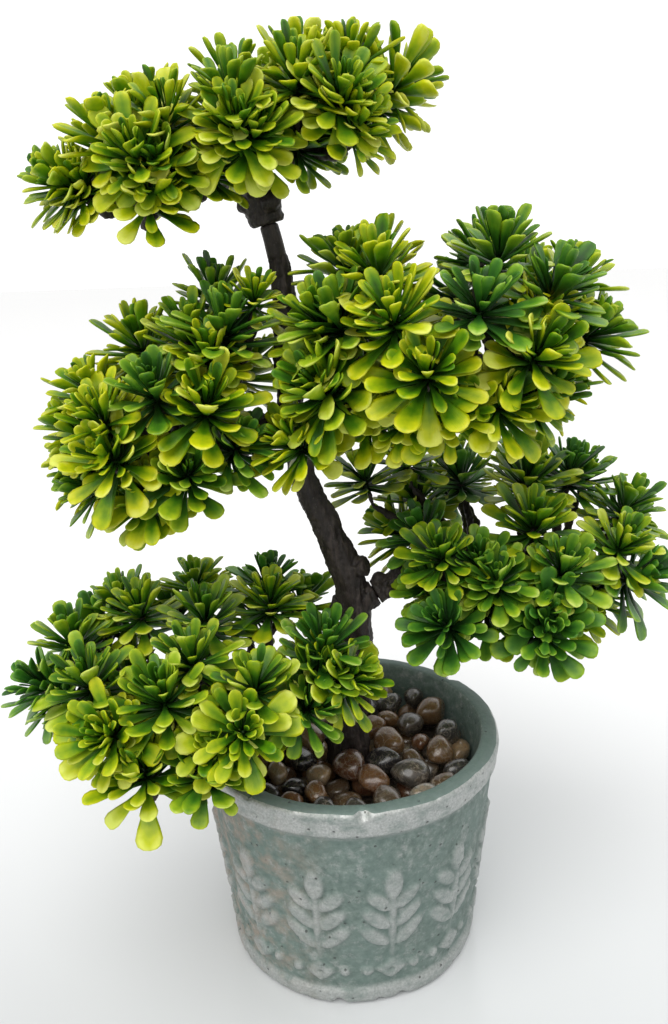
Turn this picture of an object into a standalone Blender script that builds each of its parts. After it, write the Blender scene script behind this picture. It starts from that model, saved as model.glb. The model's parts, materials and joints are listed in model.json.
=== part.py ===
"""Artificial tabletop tree: a cement pot, a foam block, a glued pebble layer, a moulded plastic trunk
in two pieces, and five boughs that swivel on push-fit pegs and carry plug-on leaf heads.

Metres, +Z up. The origin is the centre of the pot's flat underside. Each bough spreads its leaf
heads over a dome, and the whole tree is laid out in pitches, a pitch being the distance from one
leaf head to the next, so a change of leaf head size moves the boughs and the trunk with it.
"""

import math
from collections import namedtuple

import bmesh
import bpy
from mathutils import Matrix, Vector

# Gaps between pieces
FIT_GAP = 0.0003
SEAT_GAP = 0.0003

# Pot
POT_HEIGHT = 0.076
POT_TOP_RADIUS = 0.050
POT_BASE_RADIUS = 0.042
POT_WALL = 0.0060
POT_FLOOR = 0.009
BAND_PROUD = 0.0012
TOP_BAND_HEIGHT = 0.0095
BASE_BAND_HEIGHT = 0.0065
BAND_EDGE = 0.0012
POT_SEGMENTS = 48

# What fills the pot
PEBBLE_TOP_DROP = 0.0065
PEBBLE_LAYER_DEPTH = 0.0125
PEBBLE_BUMP = 0.0016
PEBBLE_RINGS = 5
PEBBLES_PER_RING = 12
FOAM_SEGMENTS = 32

# Leaf heads
HEAD_RADIUS = 0.0145
HEAD_GAP = 0.001
HEAD_LENGTH = 0.015
HEAD_LEAVES = 7
HEAD_SOCKET_DEPTH = 0.004
TWIG_PEG_RADIUS = 0.0009
TWIG_PEG_LENGTH = 0.003
TWIG_ROOT_RADIUS = 0.0013
PITCH = 2 * HEAD_RADIUS + HEAD_GAP

# Joints between the trunk and its boughs
PEG_RADIUS = 0.0020
PEG_LENGTH = 0.0055
BOSS_RADIUS = 0.0042
BOSS_CLEAR = 0.0008  # how far the rim of a boss's seat stands clear of the bark
SPIGOT_RADIUS = 0.0018
SPIGOT_LENGTH = 0.008
HUB_RADIUS = 0.0056
HUB_HEIGHT = 0.012

# Wire that stiffens the lower trunk
WIRE_RADIUS = 0.0008
WIRE_STOP = 0.012  # how far the wire ends below the lower trunk's top

ROOT_DEPTH = 0.040  # how far the trunk goes down below the pebbles' top

# The trunk's line above the rim: x, y, z in pitches, and the radius in metres
TRUNK_LINE = (
    (0.00, 0.00, -0.30, 0.0070),
    (0.00, 0.00, 0.00, 0.0062),
    (0.05, 0.00, 0.30, 0.0058),
    (0.12, 0.03, 0.90, 0.0053),
    (0.11, 0.03, 1.40, 0.0051),
    (0.02, 0.03, 1.90, 0.0049),
    (-0.18, 0.00, 2.38, 0.0043),
    (-0.32, 0.00, 2.72, 0.0040),
    (-0.40, -0.03, 3.05, 0.0038),
    (-0.46, -0.03, 3.60, 0.0036),
    (-0.48, -0.03, 4.15, 0.0033),
    (-0.47, 0.00, 4.70, 0.0030),
    (-0.53, 0.00, 5.10, 0.0028),
    (-0.58, 0.00, 5.32, 0.0027),
)
TRUNK_SPLIT = 2.98  # height of the joint between the two trunk pieces, in pitches above the rim
KNOTS = (  # height in pitches, side of the trunk in degrees, radius
    (1.84, -25, 0.0042),
    (1.36, 170, 0.0036),
    (0.62, -100, 0.0036),
)

# A bough: heart, spread and elbow are in pitches, angles in degrees. A ring lays its leaf heads
# evenly over a sweep of the dome, and leaves the side open where the trunk stands.
Bough = namedtuple("Bough", "heart spread slope_x slope_y top rim joint_height aim elbow")
Ring = namedtuple("Ring", "lift count first sweep")
BOUGHS = {
    "low_left": Bough(
        heart=(-1.47, -0.33, 0.97), spread=(1.53, 1.27, 0.37), slope_x=2, slope_y=6,
        top=Ring(58, 3, 30, 360), rim=Ring(-6, 7, 50, 287), joint_height=0.42,
        aim=(-0.75, -0.45, 0.40), elbow=(-0.62, -0.34, 0.66),
    ),
    "low_right": Bough(
        heart=(1.93, 0.47, 1.90), spread=(1.20, 1.20, 0.60), slope_x=0, slope_y=14,
        top=Ring(56, 3, 30, 360), rim=Ring(-8, 7, 15, 360), joint_height=1.42,
        aim=(0.80, 0.15, 0.40), elbow=(0.75, 0.15, 1.76),
    ),
    "mid_left": Bough(
        heart=(-1.53, -0.13, 3.50), spread=(0.95, 0.88, 0.70), slope_x=28, slope_y=0,
        top=Ring(52, 3, 90, 360), rim=Ring(0, 5, 56, 240), joint_height=3.42,
        aim=(-0.90, -0.10, -0.15), elbow=(-1.00, -0.15, 3.20),
    ),
    "mid_right": Bough(
        heart=(1.00, -0.27, 4.17), spread=(1.27, 1.00, 0.80), slope_x=7, slope_y=0,
        top=Ring(52, 4, 45, 360), rim=Ring(-12, 7, 211, 279), joint_height=3.88,
        aim=(0.80, -0.20, 0.20), elbow=(0.30, -0.15, 3.92),
    ),
    "crown": Bough(
        heart=(-0.87, 0.00, 6.05), spread=(1.50, 0.67, 0.30), slope_x=14, slope_y=4,
        top=Ring(60, 2, 0, 360), rim=Ring(-4, 8, 5, 360), joint_height=None, aim=None,
        elbow=(-0.68, 0.00, 5.72),
    ),
}
ARM_SHARE = 0.50  # how far a bough's arms reach along its longer spread
ARM_DROP = 0.22  # how far the arms run below the bough's heart, in pitches
LIMB_RADIUS = 0.0030
ARM_END_RADIUS = 0.0020
TWIG_STRAIGHT = 0.005  # straight length of a twig before its leaf head

BARK = (0.055, 0.042, 0.040)
CEMENT = (0.26, 0.36, 0.34)
LEAF = (0.20, 0.42, 0.03)


def paint(name, colour, roughness, metallic=0.0):
    """A material with one colour and one finish."""
    material = bpy.data.materials.new(name)
    material.use_nodes = True
    shader = material.node_tree.nodes["Principled BSDF"]
    shader.inputs["Base Color"].default_value = (*colour, 1)
    shader.inputs["Roughness"].default_value = roughness
    shader.inputs["Metallic"].default_value = metallic
    return material


def add_object(name, mesh, material=None):
    """Links a mesh as an object of that name."""
    obj = bpy.data.objects.new(name, mesh)
    bpy.context.collection.objects.link(obj)
    if material:
        mesh.materials.append(material)
    return obj


def object_from(bm, name, material=None, smooth_degrees=30):
    """Turns a bmesh into an object, with its faces pointing outwards."""
    bmesh.ops.recalc_face_normals(bm, faces=bm.faces)
    mesh = bpy.data.meshes.new(name)
    bm.to_mesh(mesh)
    bm.free()
    mesh.shade_smooth()
    mesh.set_sharp_from_angle(angle=math.radians(smooth_degrees))
    return add_object(name, mesh, material)


def combine(target, helper, operation):
    """Joins or cuts target by a helper, which isn't part of the model itself."""
    helper.hide_render = True
    helper.display_type = "WIRE"
    modifier = target.modifiers.new(operation.lower(), "BOOLEAN")
    modifier.operation = operation
    modifier.solver = "EXACT"
    modifier.object = helper


def turned(name, profile, segments, material):
    """A solid turned about Z from a profile of (radius, height) points, whose ends lie on the axis."""
    bm = bmesh.new()
    points = [bm.verts.new((radius, 0, height)) for radius, height in profile]
    edges = [bm.edges.new(pair) for pair in zip(points, points[1:])]
    bmesh.ops.spin(
        bm, geom=points + edges, cent=(0, 0, 0), axis=(0, 0, 1), angle=2 * math.pi, steps=segments
    )
    bmesh.ops.remove_doubles(bm, verts=bm.verts, dist=1e-6)
    return object_from(bm, name, material)


def lofted(name, rings, material, ring_shaped=False):
    """A skin over rings of points. Its ends are capped, or meet each other when it is ring-shaped."""
    bm = bmesh.new()
    loops = [[bm.verts.new(point) for point in ring] for ring in rings]
    pairs = list(zip(loops, loops[1:]))
    if ring_shaped:
        pairs.append((loops[-1], loops[0]))
    count = len(rings[0])
    for lower, upper in pairs:
        for i in range(count):
            j = (i + 1) % count
            bm.faces.new((lower[i], lower[j], upper[j]))
            bm.faces.new((lower[i], upper[j], upper[i]))
    if not ring_shaped:
        bm.faces.new(reversed(loops[0]))
        bm.faces.new(loops[-1])
    return object_from(bm, name, material)


def rod(name, start, end, start_radius, end_radius, sides=12):
    """A straight round rod between two points."""
    line = end - start
    place = Matrix.Translation((start + end) / 2) @ line.to_track_quat("Z", "Y").to_matrix().to_4x4()
    bm = bmesh.new()
    bmesh.ops.create_cone(
        bm, cap_ends=True, segments=sides, radius1=start_radius, radius2=end_radius,
        depth=line.length, matrix=place,
    )
    return object_from(bm, name)


def tube(name, points, radii, bevel_resolution, material=None):
    """A bent round bar: a curve with a round bevel and a radius at each point, made a closed mesh."""
    curve = bpy.data.curves.new(name + "_line", "CURVE")
    curve.dimensions = "3D"
    curve.fill_mode = "FULL"
    curve.bevel_depth = 1.0
    curve.bevel_resolution = bevel_resolution
    curve.use_fill_caps = True
    spline = curve.splines.new("POLY")
    spline.points.add(len(points) - 1)
    for place, point, radius in zip(spline.points, points, radii):
        place.co = (*point, 1)
        place.radius = radius
    line = bpy.data.objects.new(name + "_line", curve)
    bpy.context.collection.objects.link(line)
    graph = bpy.context.evaluated_depsgraph_get()
    mesh = bpy.data.meshes.new_from_object(line.evaluated_get(graph))
    bpy.data.objects.remove(line)
    bm = bmesh.new()
    bm.from_mesh(mesh)
    bmesh.ops.remove_doubles(bm, verts=bm.verts, dist=1e-6)
    return object_from(bm, name, material)


def smooth_line(points, steps):
    """Points of a Catmull-Rom curve through the given ones. Any number after x, y, z is carried along."""
    ends = [points[0], *points, points[-1]]
    line = []
    for before, start, end, after in zip(ends, ends[1:], ends[2:], ends[3:]):
        for k in range(steps):
            t = k / steps
            line.append(tuple(
                0.5 * (2 * b + (c - a) * t + (2 * a - 5 * b + 4 * c - d) * t**2
                       + (3 * b - a - 3 * c + d) * t**3)
                for a, b, c, d in zip(before, start, end, after)
            ))
    line.append(tuple(points[-1]))
    return line


def tree_point(x, y, z):
    """A point of the tree's layout, given in pitches from the centre of the pot's rim."""
    return Vector((x * PITCH, y * PITCH, POT_HEIGHT + z * PITCH))


# ---------------------------------------------------------------- pot and its filling

POT_BODY_TOP = POT_TOP_RADIUS - BAND_PROUD
POT_BODY_BASE = POT_BASE_RADIUS - BAND_PROUD
PEBBLE_TOP = POT_HEIGHT - PEBBLE_TOP_DROP
PEBBLE_UNDERSIDE = PEBBLE_TOP - PEBBLE_LAYER_DEPTH
FOAM_TOP = PEBBLE_UNDERSIDE - SEAT_GAP


def pot_outside(height):
    """Radius of the pot's plain outer wall at a height."""
    return POT_BODY_BASE + (POT_BODY_TOP - POT_BODY_BASE) * height / POT_HEIGHT


def pot_inside(height):
    """Radius of the pot's inner wall at a height."""
    return pot_outside(height) + BAND_PROUD - POT_WALL


def make_pot(material):
    top_band = POT_HEIGHT - TOP_BAND_HEIGHT
    profile = (
        (0, 0),
        (POT_BASE_RADIUS - BAND_EDGE, 0),
        (POT_BASE_RADIUS, BAND_EDGE),
        (pot_outside(BASE_BAND_HEIGHT) + BAND_PROUD, BASE_BAND_HEIGHT - BAND_EDGE),
        (pot_outside(BASE_BAND_HEIGHT), BASE_BAND_HEIGHT),
        (pot_outside(top_band), top_band),
        (pot_outside(top_band) + BAND_PROUD, top_band + BAND_EDGE),
        (POT_TOP_RADIUS, POT_HEIGHT - BAND_EDGE),
        (POT_TOP_RADIUS - BAND_EDGE, POT_HEIGHT),
        (pot_inside(POT_HEIGHT) + BAND_EDGE, POT_HEIGHT),
        (pot_inside(POT_HEIGHT), POT_HEIGHT - BAND_EDGE),
        (pot_inside(POT_FLOOR), POT_FLOOR),
        (0, POT_FLOOR),
    )
    return turned("pot", profile, POT_SEGMENTS, material)


def make_foam_block(material, root_radius):
    """The block that the trunk stands in, with a blind socket for the trunk's root."""
    bottom = POT_FLOOR + SEAT_GAP
    socket = root_radius + FIT_GAP
    wall = math.cos(math.pi / POT_SEGMENTS)  # the pot's inner wall is flat between its segments
    profile = (
        (0, bottom),
        (pot_inside(bottom) * wall - FIT_GAP, bottom),
        (pot_inside(FOAM_TOP) * wall - FIT_GAP, FOAM_TOP),
        (socket / math.cos(math.pi / FOAM_SEGMENTS), FOAM_TOP),
        (socket / math.cos(math.pi / FOAM_SEGMENTS), root_bottom() - SEAT_GAP),
        (0, root_bottom() - SEAT_GAP),
    )
    return turned("foam_block", profile, FOAM_SEGMENTS, material)


def make_pebble_layer(material, hole):
    """The glued layer of pebbles as one ring, with a bump for each pebble of its top."""
    wall = math.cos(math.pi / POT_SEGMENTS)
    count = 3 * PEBBLES_PER_RING

    def ring(radius, height, bump=0.0, turn=0.0):
        points = []
        for i in range(count):
            angle = 2 * math.pi * i / count
            rise = bump * math.cos(PEBBLES_PER_RING * angle + turn)
            points.append((radius * math.cos(angle), radius * math.sin(angle), height + rise))
        return points

    outer_low = pot_inside(PEBBLE_UNDERSIDE) * wall - FIT_GAP
    outer_high = pot_inside(PEBBLE_TOP) * wall - FIT_GAP
    rings = [ring(hole, PEBBLE_UNDERSIDE), ring(outer_low, PEBBLE_UNDERSIDE)]
    for k in range(PEBBLE_RINGS + 1):
        share = k / PEBBLE_RINGS
        inner_or_outer = k in (0, PEBBLE_RINGS)
        rings.append(ring(
            outer_high + (hole - outer_high) * share,
            PEBBLE_TOP - PEBBLE_BUMP * (1 + inner_or_outer),
            PEBBLE_BUMP * (not inner_or_outer),
            math.pi * k,
        ))
    return lofted("pebble_layer", rings, material, ring_shaped=True)


# ---------------------------------------------------------------- trunk


def root_bottom():
    return PEBBLE_TOP - ROOT_DEPTH


def trunk_line():
    """The trunk's centre line as (point, radius), from its root to its top."""
    laid_out = [(*tree_point(x, y, z), radius) for x, y, z, radius in TRUNK_LINE]
    first = laid_out[0]
    root = (first[0], first[1], root_bottom(), first[3])
    return [(Vector(p[:3]), p[3]) for p in smooth_line([root, *laid_out], 3)]


def trunk_at(line, height):
    """(point, direction, radius) of the trunk at a height in pitches above the rim."""
    z = POT_HEIGHT + height * PITCH
    for (a, ra), (b, rb) in zip(line, line[1:]):
        if a.z <= z <= b.z:
            share = (z - a.z) / (b.z - a.z)
            return a.lerp(b, share), (b - a).normalized(), ra + (rb - ra) * share
    raise ValueError("no trunk at that height")


def trunk_piece(name, line, material):
    return tube(name, [p for p, _ in line], [r for _, r in line], 3, material)


def add_knots(trunk, line):
    """Stumps of cut-off branches, as moulded in the bark."""
    for i, (height, side, radius) in enumerate(KNOTS):
        centre, _, bark = trunk_at(line, height)
        out = Vector((math.cos(math.radians(side)), math.sin(math.radians(side)), 0.25)).normalized()
        knot = rod(f"knot_{i}", centre, centre + out * (bark + 0.6 * radius), radius, 0.7 * radius, 9)
        combine(trunk, knot, "UNION")


def make_trunk(material, wire_material):
    """The lower and upper trunk, which meet in a spigot, and the wire inside the lower one.

    It also returns the cutters of the spigot's socket and of the wire's bore, which go last.
    """
    line = trunk_line()
    split, along, radius = trunk_at(line, TRUNK_SPLIT)
    below = [pair for pair in line if pair[0].z < split.z - 0.001]
    above = [pair for pair in line if pair[0].z > split.z + 0.001]
    start = split + along * SEAT_GAP
    lower = trunk_piece("trunk_lower", [*below, (split, radius)], material)
    upper = trunk_piece("trunk_upper", [(start, radius), *above], material)
    add_knots(lower, line)

    socket = rod("spigot_socket", split - along * (SPIGOT_LENGTH + SEAT_GAP), split + along * 0.002,
                 SPIGOT_RADIUS + FIT_GAP, SPIGOT_RADIUS + FIT_GAP)
    spigot = rod("upper_spigot", split - along * (SPIGOT_LENGTH - SEAT_GAP), start + along * 0.002,
                 SPIGOT_RADIUS, SPIGOT_RADIUS)
    combine(upper, spigot, "UNION")
    top, top_along = line[-1][0], (line[-1][0] - line[-2][0]).normalized()
    crown_spigot = rod("crown_spigot", top - top_along * 0.002, top + top_along * SPIGOT_LENGTH,
                       SPIGOT_RADIUS, SPIGOT_RADIUS)
    combine(upper, crown_spigot, "UNION")

    wired = [p for p, _ in line if p.z < split.z - WIRE_STOP]
    wire = tube("trunk_wire", wired, [WIRE_RADIUS] * len(wired), 1, wire_material)
    bored = [wired[0] - Vector((0, 0, PITCH / 10)), *wired[:-1], wired[-1] + along * 2 * SEAT_GAP]
    bore = tube("wire_bore", bored, [WIRE_RADIUS + 1.3 * FIT_GAP] * len(bored), 1)
    return lower, upper, line, [(lower, socket), (lower, bore)]


# ---------------------------------------------------------------- boughs


def dome_frame(bough):
    """The turn that tips a bough's dome by its two slopes."""
    return (Matrix.Rotation(-math.radians(bough.slope_x), 3, "Y")
            @ Matrix.Rotation(math.radians(bough.slope_y), 3, "X"))


def even_angles(long_axis, short_axis, ring):
    """Angles that lay a ring's points at even distances along an ellipse."""
    steps = 360
    angles = [2 * math.pi * k / steps for k in range(steps + 1)]
    places = [(long_axis * math.cos(t), short_axis * math.sin(t)) for t in angles]
    travelled = [0.0]
    for start, end in zip(places, places[1:]):
        travelled.append(travelled[-1] + math.dist(start, end))
    between = ring.sweep / (ring.count if ring.sweep == 360 else ring.count - 1)
    found = []
    for i in range(ring.count):
        wanted = ((ring.first + i * between) / 360 % 1) * travelled[-1]
        k = next(k for k in range(steps) if travelled[k + 1] >= wanted)
        share = (wanted - travelled[k]) / (travelled[k + 1] - travelled[k])
        found.append(angles[k] + angles[1] * share)
    return found


def head_seats(bough):
    """(seat, outward direction) of each leaf head: a few on the dome's top, the rest round its rim."""
    turn = dome_frame(bough)
    heart = tree_point(*bough.heart)
    a, b, h = (size * PITCH for size in bough.spread)
    seats = []
    for ring in (bough.top, bough.rim):
        lift = math.radians(ring.lift)
        flat, high = math.cos(lift), math.sin(lift)
        for t in even_angles(a * flat, b * flat, ring):
            place = Vector((a * flat * math.cos(t), b * flat * math.sin(t), h * high))
            outward = Vector((flat * math.cos(t) / a, flat * math.sin(t) / b, high / h))
            seats.append((heart + turn @ place, (turn @ outward).normalized()))
    return seats


def make_leaf_head(name, seat, outward, material):
    """A whorl of spread leaves and a smaller whorl above it, with a blind socket for its twig."""
    count = 2 * HEAD_LEAVES
    socket = (TWIG_PEG_RADIUS + FIT_GAP) / math.cos(math.pi / count)
    place = Matrix.Translation(seat) @ outward.to_track_quat("Z", "Y").to_matrix().to_4x4()

    def ring(even, odd):
        points = []
        for i in range(count):
            radius, height = odd if i % 2 else even
            angle = 2 * math.pi * i / count
            points.append(place @ Vector((radius * math.cos(angle), radius * math.sin(angle), height)))
        return points

    def plain(radius, height):
        return ring((radius, height), (radius, height))

    rings = (
        plain(socket, HEAD_SOCKET_DEPTH),
        plain(socket, 0),
        ring((HEAD_RADIUS, 0.42 * HEAD_LENGTH), (0.42 * HEAD_RADIUS, 0.22 * HEAD_LENGTH)),
        plain(0.30 * HEAD_RADIUS, 0.55 * HEAD_LENGTH),
        ring((0.24 * HEAD_RADIUS, 0.70 * HEAD_LENGTH), (0.62 * HEAD_RADIUS, 0.88 * HEAD_LENGTH)),
        plain(0.10 * HEAD_RADIUS, 0.85 * HEAD_LENGTH),
    )
    return lofted(name, rings, material)


def twig_line(fork, seat, outward):
    """Points of a twig that bends from its fork to run straight into its leaf head."""
    knee = seat - outward * TWIG_STRAIGHT
    fork = fork + (seat - fork).normalized() * 0.0006
    pull = knee - outward * 0.45 * (knee - fork).length
    bend = [fork.lerp(pull, t).lerp(pull.lerp(knee, t), t) for t in (0.0, 0.4, 0.75)]
    return [*bend, knee, seat + outward * TWIG_PEG_LENGTH]


def arm_ends(bough):
    """The two ends of the arms that carry a bough's twigs, and the middle where they meet."""
    turn = dome_frame(bough)
    middle = tree_point(*bough.heart) - turn @ Vector((0, 0, ARM_DROP * PITCH))
    reach = turn @ Vector((ARM_SHARE * bough.spread[0] * PITCH, 0, 0))
    return middle - reach, middle, middle + reach


def fork_of(left, right, point):
    """Where on the arms a twig leaves: beside its leaf head, but not past the arms' ends."""
    share = (point - left).dot(right - left) / (right - left).length_squared
    return left.lerp(right, min(max(share, 0.12), 0.88))


def bough_joint(bough, line):
    """(centre of the seat face, direction out of the trunk) of a bough's joint."""
    if bough.joint_height is None:
        top = line[-1][0]
        return top, (top - line[-2][0]).normalized()
    centre, along, bark = trunk_at(line, bough.joint_height)
    aim = Vector(bough.aim).normalized()
    return centre + aim * boss_length(aim, along, bark), aim


def boss_length(aim, along, bark):
    """Length of a boss from the trunk's centre: long enough for its slanting seat to clear the bark."""
    lean = abs(aim.dot(along))
    return (bark + BOSS_CLEAR + BOSS_RADIUS * lean) / math.sqrt(1 - lean**2)


def add_boss(trunk, name, seat, aim, length):
    """The boss on the trunk that a bough plugs into. It returns the cutter of its bore."""
    boss = rod(name + "_boss", seat - aim * length, seat, BOSS_RADIUS * 1.1, BOSS_RADIUS, 14)
    combine(trunk, boss, "UNION")
    return rod(name + "_bore", seat - aim * (PEG_LENGTH + SEAT_GAP), seat + aim * PEG_LENGTH,
               PEG_RADIUS + FIT_GAP, PEG_RADIUS + FIT_GAP)


def make_bough(name, bough, line, material, leaf_material):
    """A bough's limb with its arms, twigs and peg, and the leaf heads on it."""
    seat, aim = bough_joint(bough, line)
    foot = seat + aim * SEAT_GAP
    left, middle, right = arm_ends(bough)
    start = foot + aim * 0.001  # inside the collar or the hub, whose face is square to the peg
    elbow = tree_point(*bough.elbow)
    route = [start, start + aim * (elbow - start).length / 2, elbow, middle]
    limb_points = [Vector(p) for p in smooth_line([tuple(p) for p in route], 3)]
    taper = len(limb_points) - 1
    limb = tube("bough_" + name, limb_points,
                [LIMB_RADIUS * (1.15 - 0.25 * k / taper) for k in range(taper + 1)], 2, material)

    arms = [left.lerp(middle, k / 3) for k in range(3)] + [middle.lerp(right, k / 3) for k in range(4)]
    thick = 0.85 * LIMB_RADIUS
    radii = [thick + (ARM_END_RADIUS - thick) * abs(k - 3) / 3 for k in range(7)]
    combine(limb, tube(name + "_arms", arms, radii, 2), "UNION")

    heads = []
    for i, (head_seat, outward) in enumerate(head_seats(bough)):
        points = twig_line(fork_of(left, right, head_seat), head_seat, outward)
        slim = len(points) - 1
        radii = [TWIG_ROOT_RADIUS + (TWIG_PEG_RADIUS - TWIG_ROOT_RADIUS) * min(1, k / (slim - 1))
                 for k in range(slim + 1)]
        combine(limb, tube(f"{name}_twig_{i:02d}", points, radii, 1), "UNION")
        heads.append(make_leaf_head(f"leaf_head_{name}_{i:02d}", head_seat, outward, leaf_material))

    if bough.joint_height is None:
        hub = rod(name + "_hub", foot, foot + aim * HUB_HEIGHT, HUB_RADIUS * 0.8, HUB_RADIUS, 14)
        bore = rod(name + "_hub_bore", foot - aim * SPIGOT_LENGTH, foot + aim * SPIGOT_LENGTH,
                   SPIGOT_RADIUS + FIT_GAP, SPIGOT_RADIUS + FIT_GAP)
        combine(limb, hub, "UNION")
        combine(limb, bore, "DIFFERENCE")
    else:
        collar = rod(name + "_collar", foot, foot + aim * BOSS_RADIUS, BOSS_RADIUS, LIMB_RADIUS, 14)
        peg = rod(name + "_peg", seat - aim * (PEG_LENGTH - SEAT_GAP), foot + aim * 0.001,
                  PEG_RADIUS, PEG_RADIUS)
        combine(limb, collar, "UNION")
        combine(limb, peg, "UNION")
    return limb, heads


def main():
    for obj in list(bpy.data.objects):
        bpy.data.objects.remove(obj)
    bark = paint("bark_plastic", BARK, 0.6)
    leaf = paint("leaf_plastic", LEAF, 0.45)
    make_pot(paint("cement", CEMENT, 0.75))
    wire_steel = paint("steel_wire", (0.55, 0.55, 0.56), 0.35, 1.0)
    lower, upper, line, cutters = make_trunk(bark, wire_steel)
    root_radius = line[0][1]
    make_foam_block(paint("foam", (0.30, 0.42, 0.20), 0.9), root_radius)
    make_pebble_layer(paint("pebbles", (0.20, 0.14, 0.10), 0.3), root_radius * 1.15 + 2 * FIT_GAP)

    split_z = trunk_at(line, TRUNK_SPLIT)[0].z
    for name, bough in BOUGHS.items():
        limb, _ = make_bough(name, bough, line, bark, leaf)
        seat, aim = bough_joint(bough, line)
        if bough.joint_height is not None:
            trunk = lower if seat.z < split_z else upper
            length = (seat - trunk_at(line, bough.joint_height)[0]).length
            cutters.append((trunk, add_boss(trunk, name, seat, aim, length)))
        print(f"{name}: seat {[round(v, 5) for v in seat]}, axis {[round(v, 5) for v in aim]}")
    for trunk, cutter in cutters:
        combine(trunk, cutter, "DIFFERENCE")


main()
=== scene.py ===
# %% [markdown]
# # A small artificial bonsai in a cement pot
#
# This lesson dresses a imported CAD model of a tabletop tree: a bent plastic trunk, five boughs
# that carry rounded pads of waxy leaves, and a banded cement pot topped with polished pebbles.
# The CAD fixes every size and joint. What we add is what the eye reads: single leaves, bark,
# cement and stone.
#
# The first cell loads the model.

import json
import math
import random

import bmesh
import bpy
import numpy as np
from mathutils import Matrix, Vector, noise

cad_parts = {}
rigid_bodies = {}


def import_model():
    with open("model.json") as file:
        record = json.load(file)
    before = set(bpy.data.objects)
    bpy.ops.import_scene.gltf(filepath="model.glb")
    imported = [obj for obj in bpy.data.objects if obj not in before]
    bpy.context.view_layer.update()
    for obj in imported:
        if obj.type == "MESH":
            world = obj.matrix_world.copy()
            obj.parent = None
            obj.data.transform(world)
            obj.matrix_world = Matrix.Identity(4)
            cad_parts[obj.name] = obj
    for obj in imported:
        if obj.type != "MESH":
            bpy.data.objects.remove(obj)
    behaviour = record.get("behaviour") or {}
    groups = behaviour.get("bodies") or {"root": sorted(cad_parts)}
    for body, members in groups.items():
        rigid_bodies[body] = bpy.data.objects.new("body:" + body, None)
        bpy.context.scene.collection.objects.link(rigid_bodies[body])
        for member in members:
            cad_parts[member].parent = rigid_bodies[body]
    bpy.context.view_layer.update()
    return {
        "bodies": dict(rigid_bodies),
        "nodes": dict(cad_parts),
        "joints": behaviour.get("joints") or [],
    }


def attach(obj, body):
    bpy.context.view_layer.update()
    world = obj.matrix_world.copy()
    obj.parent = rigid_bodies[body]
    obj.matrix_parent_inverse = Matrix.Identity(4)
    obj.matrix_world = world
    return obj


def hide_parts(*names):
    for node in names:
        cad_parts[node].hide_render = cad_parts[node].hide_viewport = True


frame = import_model()
bodies = sorted(frame["bodies"])
print("bodies:", bodies)
print("CAD nodes:", len(frame["nodes"]))

# %% [markdown]
# ## Small helpers
#
# An operator works on whatever is selected, so each step deselects first and then names the one
# object that it is about. Points are picked by a test on their place, as one would box-select them
# by hand.

# %% Selecting and finishing


def nothing():
    """Goes to object mode and deselects everything."""
    if bpy.context.mode != "OBJECT":
        bpy.ops.object.mode_set(mode="OBJECT")
    for other in bpy.context.selected_objects:
        other.select_set(False)


def only(obj):
    """Selects one object and nothing else."""
    nothing()
    obj.select_set(True)
    bpy.context.view_layer.objects.active = obj


def edit():
    """Goes to edit mode with everything selected."""
    bpy.ops.object.mode_set(mode="EDIT")
    bpy.ops.mesh.select_all(action="SELECT")


def named(name):
    """Names the object that an operator has just made active."""
    obj = bpy.context.object
    obj.name = obj.data.name = name
    return obj


def placed(name):
    """Names a new primitive and applies its transform to its points."""
    bpy.ops.object.transform_apply(location=True, rotation=True, scale=True)
    return named(name)


def pick(obj, test):
    """In edit mode, selects the points whose place passes the test."""
    bpy.ops.mesh.select_mode(type="VERT")
    bpy.ops.mesh.select_all(action="DESELECT")
    for vertex in bmesh.from_edit_mesh(obj.data).verts:
        if test(vertex.co):
            vertex.select_set(True)
    bmesh.update_edit_mesh(obj.data)


def smooth(obj):
    """Shades an object smooth."""
    only(obj)
    bpy.ops.object.shade_smooth()


def join(pieces, name):
    """Joins objects into the first, in place."""
    only(pieces[0])
    for piece in pieces:
        piece.select_set(True)
    bpy.ops.object.join()
    return named(name)


def copy_of(obj, name):
    """A copy with a mesh of its own."""
    copy = bpy.data.objects.new(name, obj.data.copy())
    copy.data.name = name
    bpy.context.scene.collection.objects.link(copy)
    return copy


def faces_of(obj):
    return len(obj.data.polygons)


# %% [markdown]
# ## Node helpers for the finishes
#
# Every finish is built from the same few moves: a noise with a scale in cycles per metre, a colour
# ramp, a mix and a bump. The helpers work on one node tree at a time, the one that was started
# last.

# %% Node helpers


def feed(socket, value):
    """Links a socket, or sets it to a number or a colour."""
    if isinstance(value, bpy.types.NodeSocket):
        socket.id_data.links.new(value, socket)
    elif socket.type == "RGBA" and len(value) == 3:
        socket.default_value = (*value, 1)
    else:
        socket.default_value = value


def add_node(kind, inputs=None, **settings):
    """Adds a node to the current tree, sets its properties and feeds its inputs."""
    node = tree.nodes.new("ShaderNode" + kind)
    for key, value in settings.items():
        setattr(node, key, value)
    for key, value in (inputs or {}).items():
        feed(node.inputs[key], value)
    return node


def start(owner):
    """Makes the tree of a material or a world the current one."""
    global tree
    owner.use_nodes = True
    tree = owner.node_tree


def new_material(name):
    """A node material, and the Object coordinates in it."""
    material = bpy.data.materials.new(name)
    start(material)
    return material, add_node("TexCoord").outputs["Object"]


def dress(objects, material, inputs):
    """Feeds the material's shader, and gives the objects this material only."""
    for key, value in inputs.items():
        feed(tree.nodes["Principled BSDF"].inputs[key], value)
    for obj in objects:
        obj.data.materials.clear()
        obj.data.materials.append(material)
    print(material.name, "has", len(tree.nodes), "nodes and is on", len(objects), "pieces")


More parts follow.
